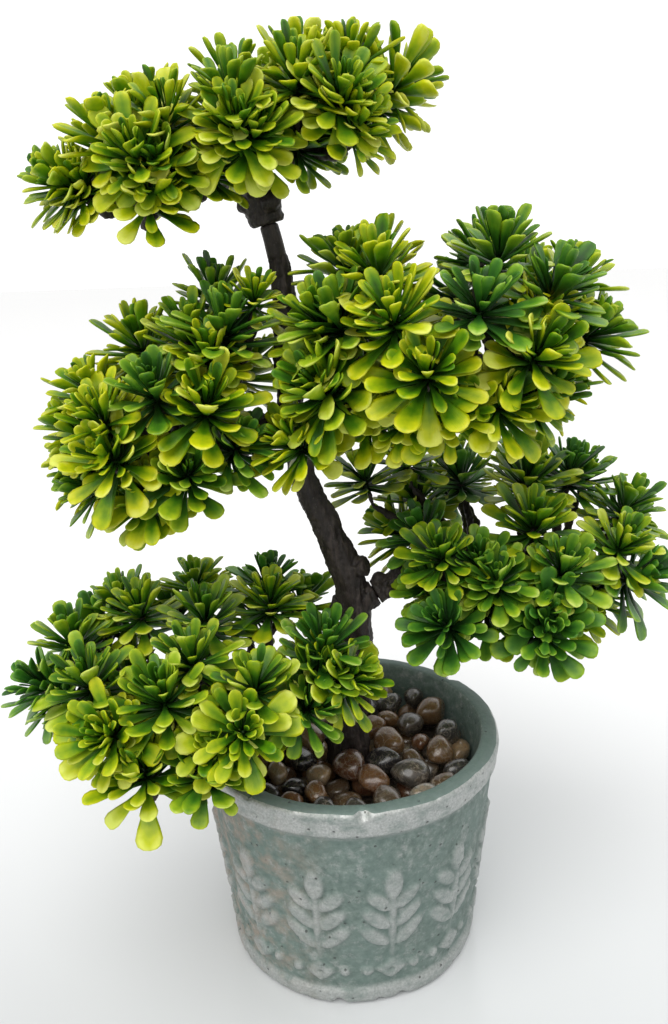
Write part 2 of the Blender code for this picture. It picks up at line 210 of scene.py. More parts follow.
def ramp(factor, stops):
    """A colour ramp with (place, colour) stops."""
    node = add_node("ValToRGB", {"Fac": factor})
    elements = node.color_ramp.elements
    while len(elements) < len(stops):
        elements.new(0.5)
    for element, (place, colour) in zip(elements, stops):
        element.position = place
        element.color = (*colour, 1) if isinstance(colour, tuple) else (colour, colour, colour, 1)
    return node.outputs["Color"]


def mix(factor, a, b):
    """Mixes two colours. Sockets 6 and 7 of a mix node are its colours."""
    node = add_node("Mix", {0: factor}, data_type="RGBA")
    feed(node.inputs[6], a)
    feed(node.inputs[7], b)
    return node.outputs[2]


def maths(operation, a, b=0.0, clamp=False):
    """A maths node on two numbers or links."""
    node = add_node("Math", {0: a, 1: b}, operation=operation, use_clamp=clamp)
    return node.outputs[0]


def times(a, b):
    return maths("MULTIPLY", a, b)


def linear(value, gain, offset):
    """A value times a gain, plus an offset."""
    return maths("ADD", times(value, gain), offset)


def centred(value, gain, middle=0.5):
    """How far a value is from its middle, times a gain."""
    return times(maths("SUBTRACT", value, middle), gain)


def map_range(value, start, end, low=0.0, high=1.0):
    """Takes the range from start to end to the range from low to high."""
    limits = {"From Min": start, "From Max": end, "To Min": low, "To Max": high}
    return add_node("MapRange", {"Value": value, **limits}).outputs["Result"]


def noise_at(where, scale, detail=3.0, roughness=0.55, distortion=0.0):
    """A noise, 0 to 1, with a scale in cycles per metre on Object coordinates."""
    sizes = {"Vector": where, "Scale": scale, "Detail": detail, "Roughness": roughness}
    return add_node("TexNoise", {**sizes, "Distortion": distortion}).outputs["Fac"]


def stretched(where, scale):
    """Coordinates scaled differently along each axis."""
    return add_node("Mapping", {"Vector": where, "Scale": scale}).outputs["Vector"]


def axis_of(where, axis):
    """One axis of a place or a direction."""
    return add_node("SeparateXYZ", {"Vector": where}).outputs[axis]


def bump(height, strength, distance, normal=None):
    """A bump of a height, with its depth in metres, over another normal if one is given."""
    inputs = {"Height": height, "Strength": strength, "Distance": distance}
    if normal is not None:
        inputs["Normal"] = normal
    return add_node("Bump", inputs).outputs["Normal"]


print("materials before the finishes:", len(bpy.data.materials))

# %% [markdown]
# ## Camera
#
# The tree stands on a plain glossy table in front of a white wall. The camera is near, at the
# height of the upper leaves, and looks down. That opens the pot's rim into a wide ellipse while
# the crown is seen from the side.

# %% Camera
CAMERA_PLACE = (0.0, -0.2659, 0.2347)
LENS_MM, SENSOR_MM = 31.64, 36.0
LOOK_DOWN, LOOK_LEFT, ROLL = 17.62, 0.44, -2.14  # degrees

camera_data = bpy.data.cameras.new("camera")
camera_data.sensor_width = SENSOR_MM
camera_data.lens = LENS_MM
camera_data.clip_start = 0.01
camera = bpy.data.objects.new("camera", camera_data)
bpy.context.scene.collection.objects.link(camera)
stand = Matrix.Translation(CAMERA_PLACE)
for degrees, axis in ((LOOK_LEFT, "Z"), (90 - LOOK_DOWN, "X"), (ROLL, "Z")):
    stand = stand @ Matrix.Rotation(math.radians(degrees), 4, axis)
camera.matrix_world = stand
bpy.context.scene.camera = camera
print("camera at", [round(v, 3) for v in camera.location], "lens", camera_data.lens)

# %% [markdown]
# ## Floor and light
#
# The near edge of the table is greyer than the part behind the pot: painted shade in the table's
# colour. The wall lights the tree softly and is seen as plain white. Two broad lights keep the
# shadows faint.

# %% Floor and lights
TABLE_SHADE_NEAR, TABLE_SHADE_FAR = -0.14, 0.30  # where the table's grey ends and its white begins, along Y
WALL_LIGHT, WALL_SEEN = 0.55, 1.05

nothing()
bpy.ops.mesh.primitive_plane_add(size=6.0, location=(0, 1.0, 0))
floor = placed("floor")
table, place = new_material("white_table_painted_shade")
# Painted shade: the table's colour is grey at its near edge and turns white behind the pot.
tone = ramp(map_range(axis_of(place, "Y"), TABLE_SHADE_NEAR, TABLE_SHADE_FAR), (
    (0.0, (0.585, 0.605, 0.620)),
    (1.0, (0.955, 0.958, 0.962)),
))
dress([floor], table, {"Base Color": tone, "Roughness": 0.20})

world = bpy.data.worlds.new("white_room")
bpy.context.scene.world = world
start(world)
wall = tree.nodes["Background"]
seen = add_node("LightPath").outputs["Is Camera Ray"]
feed(wall.inputs["Color"], (1.0, 1.0, 1.0))
feed(wall.inputs["Strength"], map_range(seen, 0.0, 1.0, WALL_LIGHT, WALL_SEEN))


def soft_sun(name, place, power, spread, colour):
    """A broad light from a direction, with soft shadows. The spread is in degrees."""
    data = bpy.data.lights.new(name, "SUN")
    data.angle = math.radians(spread)
    data.energy = power
    data.color = colour
    light = bpy.data.objects.new(name, data)
    bpy.context.scene.collection.objects.link(light)
    light.rotation_euler = Vector(place).to_track_quat("Z", "Y").to_euler()


soft_sun("window_light", (-0.25, -0.60, 1.0), 1.95, 60, (1.0, 0.985, 0.96))
soft_sun("back_light", (0.7, 0.6, 0.8), 0.55, 70, (0.96, 0.98, 1.0))
bpy.context.scene.view_settings.view_transform = "Standard"
bpy.context.scene.view_settings.exposure = 0.22

# %% [markdown]
# ## Where the leaf heads sit
#
# Every leaf head of the CAD is a star of pointed lobes. The seven longest lobes lie in one plane:
# their middle gives the head's heart, and the plane's normal its direction. Reading these from the
# model's own points means that no place has to be typed in here.

# %% Heart and direction of each head
TIP_HEIGHT = 0.0063  # how far the star's long lobes stand above the head's seat
LOBES = 7


def heart_of(node):
    """(seat, outward direction) of a CAD leaf head."""
    corners = [tuple(v.co) for v in frame["nodes"][node].data.vertices]
    points = np.unique(np.round(corners, 6), axis=0)
    middle = points.mean(0)
    for _ in range(4):  # the longest lobes and their middle settle in a few rounds
        tips = points[np.argsort(-np.linalg.norm(points - middle, axis=1))[:LOBES]]
        middle = tips.mean(0)
    axis = np.linalg.svd(tips - middle)[2][2]
    rise = (points - middle) @ axis
    reach = np.linalg.norm(points - middle - rise[:, None] * axis, axis=1)
    upper = (reach > 0.5 * reach.max()) & (reach < 0.8 * reach.max())  # the shorter, upper lobes
    if rise[upper].mean() < 0:
        axis = -axis
    return Vector(middle - TIP_HEIGHT * axis), Vector(axis).normalized()


head_nodes = {}
for node in sorted(frame["nodes"]):
    if node.startswith("leaf_head_"):
        pad = node[len("leaf_head_"):-3]
        head_nodes.setdefault(pad, []).append((node, *heart_of(node)))
for pad, heads in head_nodes.items():
    print(pad, len(heads), "heads, first at", [round(v, 4) for v in heads[0][1]])

# %% [markdown]
# ## One leaf
#
# A leaf is a small paddle of soft plastic: a narrow stalk that widens to a rounded end, hollow on
# top like a spoon, and thick enough that its edge catches the light. We loft it as one would by
# hand: an eight-sided ring is extruded six times, each time resized to the width and thickness of
# its station, and the end is merged to a point. The leaf has unit length, so a copy can be scaled
# to any size, and few faces, because thousands of copies follow.

# %% Loft the leaf
LEAF_STATIONS = (  # along, half width, half thickness
    (0.00, 0.040, 0.036),
    (0.22, 0.046, 0.033),
    (0.45, 0.076, 0.031),
    (0.66, 0.124, 0.031),
    (0.83, 0.152, 0.030),
    (0.93, 0.130, 0.027),
    (0.985, 0.074, 0.018),
)
LEAF_CUP = 0.048  # how far the rim of the widest part is raised
CUP_BANDS = ((0.9, 1.1, 1.0), (0.6, 0.9, 0.45))  # shares of the half width, share of the lift

nothing()
bpy.ops.mesh.primitive_circle_add(
    vertices=8, radius=1.0, fill_type="NGON", location=(0, 0, 0), rotation=(math.radians(90), 0, 0)
)
leaf = placed("leaf_master")
edit()
_, wide, thick = LEAF_STATIONS[0]
bpy.ops.transform.resize(value=(wide, 1, thick), center_override=(0, 0, 0))
for (y0, w0, t0), (y1, w1, t1) in zip(LEAF_STATIONS, LEAF_STATIONS[1:]):
    bpy.ops.mesh.extrude_region_move(TRANSFORM_OT_translate={"value": (0, y1 - y0, 0)})
    bpy.ops.transform.resize(value=(w1 / w0, 1, t1 / t0), center_override=(0, y1, 0))
bpy.ops.mesh.extrude_region_move(TRANSFORM_OT_translate={"value": (0, 1 - LEAF_STATIONS[-1][0], 0)})
bpy.ops.mesh.merge(type="CENTER")
widest = max(w for _, w, _ in LEAF_STATIONS)
for y, w, _ in LEAF_STATIONS[2:]:
    for nearer, further, share in CUP_BANDS:
        pick(leaf, lambda p: abs(p.y - y) < 0.01 and nearer * w < abs(p.x) < further * w)
        bpy.ops.transform.translate(value=(0, 0, LEAF_CUP * share * w / widest))
bpy.ops.mesh.select_all(action="SELECT")
bpy.ops.mesh.normals_make_consistent(inside=False)
smooth(leaf)
print("leaf faces:", faces_of(leaf))

# %% [markdown]
# ## What the paint needs to know
#
# The colour runs from dark green at the stalk to yellow-green at the end. This is partly the
# plastic's own colour and partly painted shade, which makes the stalk end near black deep inside
# the head. The rim is paler than the hollow, and no two leaves are quite alike. So each point of a
# leaf carries four numbers: how far along the leaf it is, a tone of its leaf, a tone of its head,
# and how near the rim it is. A map of the leaf's width and length lets fine streaks run lengthwise.

# %% Leaf paint data
LEAF_PAINT, LEAF_MAP = "leaf_paint", "leaf_map"


def leaf_width(y):
    """Half width of the unit leaf at a place along it."""
    stations = LEAF_STATIONS + ((1.0, 0.01, 0.01),)
    return np.interp(y, [s[0] for s in stations], [s[1] for s in stations])


def paint_leaf(obj, length_share, leaf_tone):
    """Writes (along, leaf tone, head tone, rim) on each point of a unit leaf."""
    mesh = obj.data
    layer = mesh.attributes.get(LEAF_PAINT)
    layer = layer or mesh.attributes.new(LEAF_PAINT, "FLOAT_COLOR", "POINT")
    values = np.zeros((len(mesh.vertices), 4), np.float32)
    values[:, 0] = [v.co.y * length_share for v in mesh.vertices]
    values[:, 1] = leaf_tone
    values[:, 3] = [
        min(abs(v.co.x) / leaf_width(v.co.y), 1) if v.co.y < 0.99 else 1 for v in mesh.vertices
    ]
    layer.data.foreach_set("color", values.ravel())


leaf_map = leaf.data.uv_layers.new(name=LEAF_MAP)
for loop in leaf.data.loops:
    point = leaf.data.vertices[loop.vertex_index].co
    leaf_map.data[loop.index].uv = (0.5 + 2.0 * point.x, point.y)
print("corners on the leaf's map:", len(leaf_map.data))

# %% [markdown]
# ## A head of leaves
#
# A head is moulded as whorls on a short stem, like a fountain. The lowest leaves are the broadest
# and droop a little. Each whorl above is narrower and more upright, down to a few thin rods round
# the tip. Seven heads that differ in their turns and lengths are enough to copy to every seat.

# %% Build the heads
WHORLS = (  # leaves, lean from the stem in degrees, length in metres, width, height on the stem
    (7, 104, 0.0158, 1.24, 0.0000),
    (9, 82, 0.0172, 1.08, 0.0014),
    (9, 61, 0.0168, 0.98, 0.0030),
    (9, 42, 0.0152, 0.90, 0.0046),
    (7, 26, 0.0124, 0.80, 0.0060),
    (4, 11, 0.0090, 0.72, 0.0072),
)
STEM_RADIUS = 0.0011
HEAD_KINDS = 7
GREENER_PER_ROW = 0.085  # the upper whorls are less yellow at their ends


def whorl_place(turn, lean, length, width, height):
    """The matrix that puts a unit leaf on the stem, with its hollow side towards the tip."""
    out = Vector((math.cos(turn), math.sin(turn), 0))
    along = out * math.sin(lean) + Vector((0, 0, math.cos(lean)))
    up = -out * math.cos(lean) + Vector((0, 0, math.sin(lean)))
    side = along.cross(up)
    turned = Matrix((side * width, along, up)).transposed()
    foot = Matrix.Translation(out * STEM_RADIUS * 0.6 + Vector((0, 0, height)))
    return foot @ turned.to_4x4() @ Matrix.Scale(length, 4)


def make_head(kind):
    """One head of leaves at the origin, with its stem along +Z."""
    chance = random.Random(100 + kind)
    nothing()
    bpy.ops.mesh.primitive_cone_add(
        vertices=6, radius1=STEM_RADIUS, radius2=0.0006, depth=0.0095, location=(0, 0, 0.003)
    )
    stem = placed(f"head_stem_{kind}")
    smooth(stem)
    stem.data.uv_layers[0].name = LEAF_MAP
    paint_leaf(stem, 0.0, 0.3)
    pieces = [stem]
    for row, (count, lean, length, width, height) in enumerate(WHORLS):
        first = chance.random() * 2 * math.pi
        for i in range(count):
            turn = first + 2 * math.pi * i / count + math.radians(chance.uniform(-15, 15))
            tilt = math.radians(lean + chance.uniform(-16, 14))
            size = length * chance.uniform(0.74, 1.14)
            one = copy_of(leaf, f"leaf_{kind}_{row}_{i}")
            paint_leaf(one, 1.0 - GREENER_PER_ROW * row, chance.random())
            curl = chance.uniform(-0.14, 0.20)
            for v in one.data.vertices:
                v.co.z += curl * v.co.y**2
            wide = width * chance.uniform(0.82, 1.28)
            one.data.transform(whorl_place(turn, tilt, size, wide, height))
            pieces.append(one)
    return join(pieces, f"head_master_{kind}")


head_masters = [make_head(kind) for kind in range(HEAD_KINDS)]
print("head faces:", [faces_of(h) for h in head_masters])

# %% [markdown]
# ## The leaf plastic
#
# The plastic is satin and a little waxy. The head's tone chooses between a warm yellow-green and a
# darker, cooler green, and the leaf's tone shifts where the yellow begins. The rim is lighter than
# the hollow, and fine lengthwise streaks break the gloss.

# %% Leaf material
leaf_plastic, place = new_material("leaf_plastic")
paint = add_node("Attribute", attribute_name=LEAF_PAINT)
split = add_node("SeparateColor", {"Color": paint.outputs["Color"]})
leaf_along, leaf_tone, head_tone = (split.outputs[i] for i in range(3))
leaf_rim = paint.outputs["Alpha"]
patchy = noise_at(place, 240.0, 2.0)
shift = maths("ADD", centred(leaf_tone, 0.42), centred(patchy, 0.45))
edge_shift = maths("ADD", centred(leaf_rim, 0.16, middle=0.45), times(head_tone, -0.16))
run = maths("ADD", maths("ADD", leaf_along, shift), edge_shift, clamp=True)
# In both ramps the darkest stops, at the stalk end, are partly painted shade for leaves that shade
# each other.
warm = ramp(run, (
    (0.00, (0.008, 0.034, 0.001)),
    (0.24, (0.022, 0.090, 0.002)),
    (0.44, (0.085, 0.235, 0.003)),
    (0.64, (0.345, 0.460, 0.004)),
    (0.82, (0.640, 0.660, 0.006)),
    (1.00, (0.780, 0.810, 0.120)),
))
cool = ramp(run, (
    (0.00, (0.006, 0.030, 0.004)),
    (0.30, (0.016, 0.085, 0.010)),
    (0.56, (0.048, 0.190, 0.016)),
    (0.78, (0.170, 0.370, 0.020)),
    (1.00, (0.500, 0.640, 0.130)),
))
coolness = maths("ADD", times(head_tone, 1.1), centred(leaf_tone, 0.5), clamp=True)
uv = add_node("UVMap", uv_map=LEAF_MAP).outputs["UV"]
streaks = noise_at(stretched(uv, (14.0, 1.2, 1.0)), 3.0, 2.0)
dress(head_masters, leaf_plastic, {
    "Base Color": mix(coolness, warm, cool),
    "Roughness": linear(streaks, 0.18, 0.27),
    "Normal": bump(streaks, 0.35, 0.0003),
    "Subsurface Weight": 0.10,
    "Subsurface Radius": (0.0012, 0.0020, 0.0002),
    "Subsurface Scale": 1.0,
    "Specular IOR Level": 0.32,
})

# %% [markdown]
# ## Where the fillers go
#
# The CAD carries a head on each of its main twigs. The real pads are fuller: more heads fill the
# spaces between them and hang under the rims. Each pad is a flattened dome on its own slopes, with
# rings of fillers at even distances round it. Single heads, given in pitches, close the gaps that
# are left. A filler that would grow into the trunk or into another pad is left out.

# %% Domes of the pads
PITCH = 0.030  # distance from one main head to the next
RIM_HEIGHT = 0.076
ARM_SHARE, ARM_DROP = 0.50, 0.22

PADS = {  # heart and spread in pitches, two slopes in degrees
    "low_left": ((-1.47, -0.33, 0.97), (1.53, 1.27, 0.37), (2, 6)),
    "low_right": ((1.93, 0.47, 1.90), (1.20, 1.20, 0.60), (0, 14)),
    "mid_left": ((-1.53, -0.13, 3.50), (0.95, 0.88, 0.70), (28, 0)),
    "mid_right": ((1.00, -0.27, 4.17), (1.27, 1.00, 0.80), (7, 0)),
    "crown": ((-0.87, 0.00, 6.05), (1.50, 0.67, 0.30), (14, 4)),
}
FILLER_RINGS = {  # lift in degrees, heads, first, sweep in degrees, size
    "low_left": (
        (88, 1, 0, 360, 0.95), (30, 9, 20, 360, 0.90),
        (-26, 7, 70, 250, 0.84), (-55, 5, 170, 180, 0.80),
    ),
    "low_right": ((88, 1, 0, 360, 0.95), (24, 9, 40, 360, 0.90), (-46, 7, 190, 150, 0.86)),
    "mid_left": ((88, 1, 0, 360, 0.95), (26, 8, 45, 270, 0.90), (-38, 6, 110, 190, 0.86)),
    "mid_right": ((20, 9, 208, 300, 0.90), (-46, 6, 205, 150, 0.86)),
    "crown": (
        (84, 1, 0, 360, 0.90), (36, 10, 25, 360, 0.86),
        (-22, 8, 10, 360, 0.80), (-55, 5, 30, 360, 0.74),
    ),
}
SINGLE_HEADS = {  # place in pitches, size
    "low_left": (
        ((-1.90, -1.55, 0.35), 0.95), ((-1.35, -1.55, 0.35), 0.85), ((-0.35, -0.85, 0.95), 0.85),
    ),
    "low_right": (
        ((1.05, -0.75, 1.45), 0.85), ((1.00, -0.55, 2.05), 0.85), ((1.50, -0.75, 1.85), 0.80),
        ((1.95, -0.80, 1.35), 0.95), ((0.30, 0.55, 2.55), 0.90), ((0.75, 0.60, 2.75), 0.90),
    ),
    "mid_left": (
        ((-1.00, -0.60, 4.25), 1.00), ((-1.15, 0.00, 4.55), 0.85), ((-0.72, -0.55, 4.60), 0.65),
        ((-2.35, -0.30, 2.85), 0.90), ((-1.90, -0.40, 2.70), 0.90),
    ),
    "mid_right": (
        ((-0.05, -0.95, 3.80), 1.05), ((-0.30, -0.75, 3.30), 0.95), ((0.10, -0.85, 4.35), 0.95),
        ((-0.38, -0.85, 4.25), 0.85), ((0.15, -0.35, 4.80), 0.85), ((1.75, -0.75, 4.30), 0.90),
    ),
    "crown": (
        ((-2.25, -0.15, 5.65), 0.85), ((-1.60, -0.50, 5.50), 0.85), ((0.20, -0.45, 6.00), 0.80),
    ),
}
UPWARD_LEAN = 1.10
FILLER_LEAN = UPWARD_LEAN + 0.2
HEAD_MIDDLE = 0.005  # a head's middle above its seat
TRUNK_GAP, PAD_GAP = 0.0135, 0.0200


def lean_up(outward, amount):
    """A head's direction: leaves grow outward and up to the light."""
    return (outward + Vector((0, 0, amount))).normalized()


def dome(pad):
    """(heart, spread, turn) of a pad, in metres."""
    heart, spread, (slope_x, slope_y) = PADS[pad]
    across = Matrix.Rotation(-math.radians(slope_x), 3, "Y")
    turn = across @ Matrix.Rotation(math.radians(slope_y), 3, "X")
    return tree_point(heart), Vector(spread) * PITCH, turn


def tree_point(pitches):
    """A place in metres from one in pitches, with its height above the pot's rim."""
    return Vector((pitches[0] * PITCH, pitches[1] * PITCH, RIM_HEIGHT + pitches[2] * PITCH))


def ring_angles(long_axis, short_axis, count, first, sweep):
    """Angles at even distances along an ellipse, from a first place over a sweep."""
    t = np.linspace(0, 2 * math.pi, 721)
    steps = np.hypot(np.diff(long_axis * np.cos(t)), np.diff(short_axis * np.sin(t)))
    gone = np.concatenate([[0], np.cumsum(steps)]) / steps.sum()
    between = sweep / (count if sweep == 360 else count - 1)
    wanted = [((first + i * between) / 360) % 1 for i in range(count)]
    return np.interp(wanted, gone, t)


def filler_seats(pad):
    """(seat, outward direction, size) of a pad's fillers."""
    heart, (a, b, h), turn = dome(pad)
    seats = []
    for lift, count, first, sweep, size in FILLER_RINGS[pad]:
        flat, high = math.cos(math.radians(lift)), math.sin(math.radians(lift))
        for t in ring_angles(a * flat, b * flat, count, first, sweep):
            spot = Vector((a * flat * math.cos(t), b * flat * math.sin(t), h * high))
            away = Vector((flat * math.cos(t) / a, flat * math.sin(t) / b, high / h))
            seats.append((heart + turn @ spot, (turn @ away).normalized(), size))
    for pitches, size in SINGLE_HEADS[pad]:
        seat = tree_point(pitches)
        away = turn.transposed() @ (seat - heart)
        away = turn @ Vector((away.x / a**2, away.y / b**2, away.z / h**2))
        seats.append((seat, away.normalized(), size))
    return seats


trunk_points = np.array([
    tuple(v.co)
    for node in ("trunk_lower", "trunk_upper")
    for v in frame["nodes"][node].data.vertices
])
taken = [(pad, seat) for pad, heads in head_nodes.items() for _, seat, _ in heads]
fillers = {pad: [] for pad in PADS}
for pad in PADS:
    for seat, outward, size in filler_seats(pad):
        middle = seat + lean_up(outward, UPWARD_LEAN) * HEAD_MIDDLE
        in_trunk = np.linalg.norm(trunk_points - np.array(middle), axis=1).min() < TRUNK_GAP
        in_pad = any(other != pad and (seat - spot).length < PAD_GAP for other, spot in taken)
        if not in_trunk and not in_pad:
            fillers[pad].append((seat, outward, size))
            taken.append((pad, seat))
print("fillers:", {pad: len(seats) for pad, seats in fillers.items()})

# %% [markdown]
# ## Plant the heads
#
# Leaves grow to the light, so each head leans up from the dome's outward direction, and a filler
# leans a little more. Tones, turns and sizes are drawn by chance with a fixed seed, so the tree
# comes out the same each time.

# %% Plant
PAD_TONES = {  # from warm yellow-green to cool dark green
    "low_left": (0.10, 0.85), "low_right": (0.15, 0.95), "mid_left": (-0.2, 0.80),
    "mid_right": (-0.3, 0.75), "crown": (-0.4, 0.55),
}
chance = random.Random(7)


def plant(name, body, seat, outward, size, tone):
    """Puts a copy of a head on its seat, turned by chance about its stem."""
    head = copy_of(head_masters[chance.randrange(HEAD_KINDS)], name)
    spin = Matrix.Rotation(chance.uniform(0, 2 * math.pi), 4, "Z")
    stand = outward.to_track_quat("Z", "Y").to_matrix().to_4x4()
    head.data.transform(Matrix.Translation(seat) @ stand @ spin @ Matrix.Scale(size, 4))
    layer = head.data.attributes[LEAF_PAINT]
    values = np.empty(len(head.data.vertices) * 4, np.float32)
    layer.data.foreach_get("color", values)
    values = values.reshape(-1, 4)
    values[:, 2] = max(tone, 0)
    layer.data.foreach_set("color", values.ravel())
    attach(head, body)
    return head


for pad, heads in head_nodes.items():
    for i, (node, seat, outward) in enumerate(heads):
        head = plant(f"leaves_{pad}_{i:02d}", f"{pad}_bough", seat, lean_up(outward, UPWARD_LEAN),
                     chance.uniform(0.84, 0.98), chance.uniform(*PAD_TONES[pad]))
        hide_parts(node)
    for i, (seat, outward, size) in enumerate(fillers[pad]):
        plant(f"leaves_{pad}_between_{i:02d}", f"{pad}_bough", seat, lean_up(outward, FILLER_LEAN),
              size * chance.uniform(0.90, 1.04), chance.uniform(*PAD_TONES[pad]))
for master in head_masters + [leaf]:
    bpy.data.objects.remove(master)
planted = [o for o in bpy.data.objects if o.name.startswith("leaves_")]
print("heads planted:", len(planted), "faces:", sum(faces_of(o) for o in planted))

# %% [markdown]
# ## Wood: trunk and boughs
#
# The trunk and the boughs are moulded plastic with lumps and lengthwise ridges. Their paths, knots
# and joints come from the CAD: its points are copied and the loose triangles merged. A voxel
# remesh melts them into one skin, and the bark is pressed into it point by point, but not near a
# peg or its bore, so that a bough still turns freely.

# %% Melt and press
VOXEL_MM = 0.48
PEG_INWARD, PEG_OUTWARD, PEG_CLEAR = 9e-3, 10e-3, 3.0e-3  # along the peg, and away from it
COLLAR_FADE, COLLAR_CLEAR = 1.2e-3, 8e-3
LUMPS_PER_M, GRAIN_PER_M, GRAIN_SHARE = 150, 900, 0.35
swivels = {j["name"]: (Vector(j["pos_m"]), Vector(j["axis"]).normalized()) for j in frame["joints"]}


def merged_copy(nodes, name):
    """One new object from copies of CAD nodes, with their loose triangles merged."""
    piece = join([copy_of(frame["nodes"][node], f"{name}_{node}") for node in nodes], name)
    edit()
    bpy.ops.mesh.remove_doubles(threshold=1e-6)
    bpy.ops.object.mode_set(mode="OBJECT")
    return piece


def twig(start, end, thick_start, thick_end):
    """A tapered length of twig between two points."""
    nothing()
    run = end - start
    bpy.ops.mesh.primitive_cone_add(
        vertices=8, radius1=thick_start, radius2=thick_end, depth=run.length,
        location=(start + end) / 2, rotation=run.to_track_quat("Z", "Y").to_euler(),
    )
    return placed("twig")


def free_of_joints(point):
    """0 on the pegs and bores, 1 on open bark."""
    share = 1.0
    for seat, axis in swivels.values():
        along = (point - seat).dot(axis)
        off = (point - seat - along * axis).length
        if -PEG_INWARD < along < PEG_OUTWARD and off < PEG_CLEAR:
            share = 0.0
        elif abs(along) < COLLAR_FADE and off < COLLAR_CLEAR:
            share = min(share, abs(along) / COLLAR_FADE)
    return share


def press_bark(piece, lumps, ridges, stretch, lowest=-1.0):
    """Moves each point along its normal by lumps and by ridges stretched along an axis."""
    mesh = piece.data
    places = np.empty(len(mesh.vertices) * 3)
    normals = np.empty(len(mesh.vertices) * 3)
    mesh.vertices.foreach_get("co", places)
    mesh.vertex_normals.foreach_get("vector", normals)
    places, normals = places.reshape(-1, 3), normals.reshape(-1, 3)
    lifts = np.zeros(len(places))
    for i, place in enumerate(places):
        point = Vector(place)
        share = free_of_joints(point)
        if point.z > lowest and share > 0:
            broad = noise.noise(point * LUMPS_PER_M) * lumps
            ridge = 0.5 - abs(noise.noise(point * Vector(stretch)))
            ridge += GRAIN_SHARE * noise.noise(point * GRAIN_PER_M)
            lifts[i] = share * (broad + ridges * ridge)
    mesh.vertices.foreach_set("co", (places + normals * lifts[:, None]).ravel())
    mesh.update()


def melt(piece):
    """Remeshes a piece into one skin. This is done in millimetres, as the voxel size is given."""
    piece.data.transform(Matrix.Scale(1000, 4))
    remesh = piece.modifiers.new("melt", "REMESH")
    remesh.mode = "VOXEL"
    remesh.voxel_size = VOXEL_MM
    remesh.use_smooth_shade = True
    only(piece)
    bpy.ops.object.modifier_apply(modifier=remesh.name)
    piece.data.transform(Matrix.Scale(0.001, 4))
    smooth(piece)
    return piece


trunk = melt(merged_copy(["trunk_lower", "trunk_upper"], "trunk"))
press_bark(trunk, 0.0009, 0.0008, (620, 620, 130), lowest=0.058)
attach(trunk, "pot_and_trunk")
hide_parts("trunk_lower", "trunk_upper")
print("trunk faces:", faces_of(trunk))

# %% [markdown]
# ## Boughs and burls
#
# A bough gets one twig for each filler: from the arm that runs through the pad's dome to the
# filler's foot, and on to its seat. A few burls make the collar at the trunk uneven, as knots do.

# %% Boughs and their twigs
CROWN_BURLS = (  # turn in degrees, then along, off and radius in millimetres
    (20, 4.5, 4.8, 2.5), (140, 7.5, 4.6, 2.4), (250, 5.5, 4.9, 2.6), (75, 10.0, 4.2, 3.0),
    (200, 11.0, 4.4, 3.0),
)
COLLAR_BURLS = ((30, 3.4, 3.2, 2.3), (150, 4.4, 3.0, 2.2), (260, 3.6, 3.3, 2.4))
ARM_LIMIT = 0.8  # twigs leave the arm no nearer its end than this share
FOOT_DEPTH = 0.006  # a twig's last stretch, under the head
TWIG_RADII, TIP_RADII = (0.0014, 0.0011), (0.0012, 0.0009)


def burl(pad, turn, along, off, radius):
    """A small swelling beside a bough's collar, clear of the peg."""
    seat, axis = swivels[f"{pad}_swivel"]
    side = Matrix.Rotation(math.radians(turn), 3, axis) @ axis.orthogonal().normalized()
    spot = seat + axis * along / 1000 + side * off / 1000
    nothing()
    bpy.ops.mesh.primitive_ico_sphere_add(subdivisions=2, radius=radius / 1000, location=spot)
    return placed("burl")


boughs = []
for pad in PADS:
    heart, (a, _, _), turn = dome(pad)
    middle = heart - turn @ Vector((0, 0, ARM_DROP * PITCH))
    half_arm = turn @ Vector((ARM_SHARE * a, 0, 0))
    pieces = [merged_copy([f"bough_{pad}"], f"wood_{pad}")]
    pieces += [burl(pad, *sizes) for sizes in (CROWN_BURLS if pad == "crown" else COLLAR_BURLS)]
    for seat, outward, _ in fillers[pad]:
        share = (seat - middle).dot(half_arm) / half_arm.length_squared
        fork = middle + half_arm * max(-ARM_LIMIT, min(ARM_LIMIT, share))
        foot = seat - lean_up(outward, FILLER_LEAN) * FOOT_DEPTH
        pieces += [twig(fork, foot, *TWIG_RADII), twig(foot, seat, *TIP_RADII)]
    bough = melt(join(pieces, f"wood_{pad}"))
    press_bark(bough, 0.0010, 0.0008, (330, 330, 330))
    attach(bough, f"{pad}_bough")
    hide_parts(f"bough_{pad}")
    boughs.append(bough)
print("bough faces:", [faces_of(o) for o in boughs])

# %% [markdown]
# ## The bark's finish
#
# The bark is nearly black in the creases and grey-brown on the ridges, with a dull sheen.
# Pointiness isn't kept by an export, so the paint follows a stretched noise of about the same size
# as the pressed bark.

# %% Bark material
bark, place = new_material("moulded_bark")
grain = noise_at(stretched(place, (1.0, 1.0, 0.22)), 620.0, 4.0, 0.62, 0.4)
blotch = noise_at(place, 120.0, 3.0)
speck = noise_at(place, 1900.0, 2.0)
wood = ramp(grain, (
    (0.25, (0.006, 0.004, 0.004)),
    (0.48, (0.020, 0.014, 0.012)),
    (0.62, (0.055, 0.041, 0.035)),
    (0.80, (0.130, 0.103, 0.090)),
))
wood = mix(ramp(blotch, ((0.40, 0.0), (0.68, 0.55))), wood, (0.050, 0.040, 0.036))
wood = mix(ramp(speck, ((0.60, 0.0), (0.75, 0.35))), wood, (0.16, 0.14, 0.13))
dress([trunk] + boughs, bark, {
    "Base Color": wood,
    "Roughness": linear(grain, 0.30, 0.42),
    "Normal": bump(speck, 0.35, 0.0002, bump(grain, 0.7, 0.0006)),
    "Specular IOR Level": 0.42,
})

# %% [markdown]
# ## The pot's wall
#
# The pot is cast cement. Its profile is a chain of points, extruded one by one from the middle of
# the underside, up the outer wall, over the rim and down inside to the floor, and then spun once
# round. The outer wall needs close points because a raised pattern is pressed out of it.

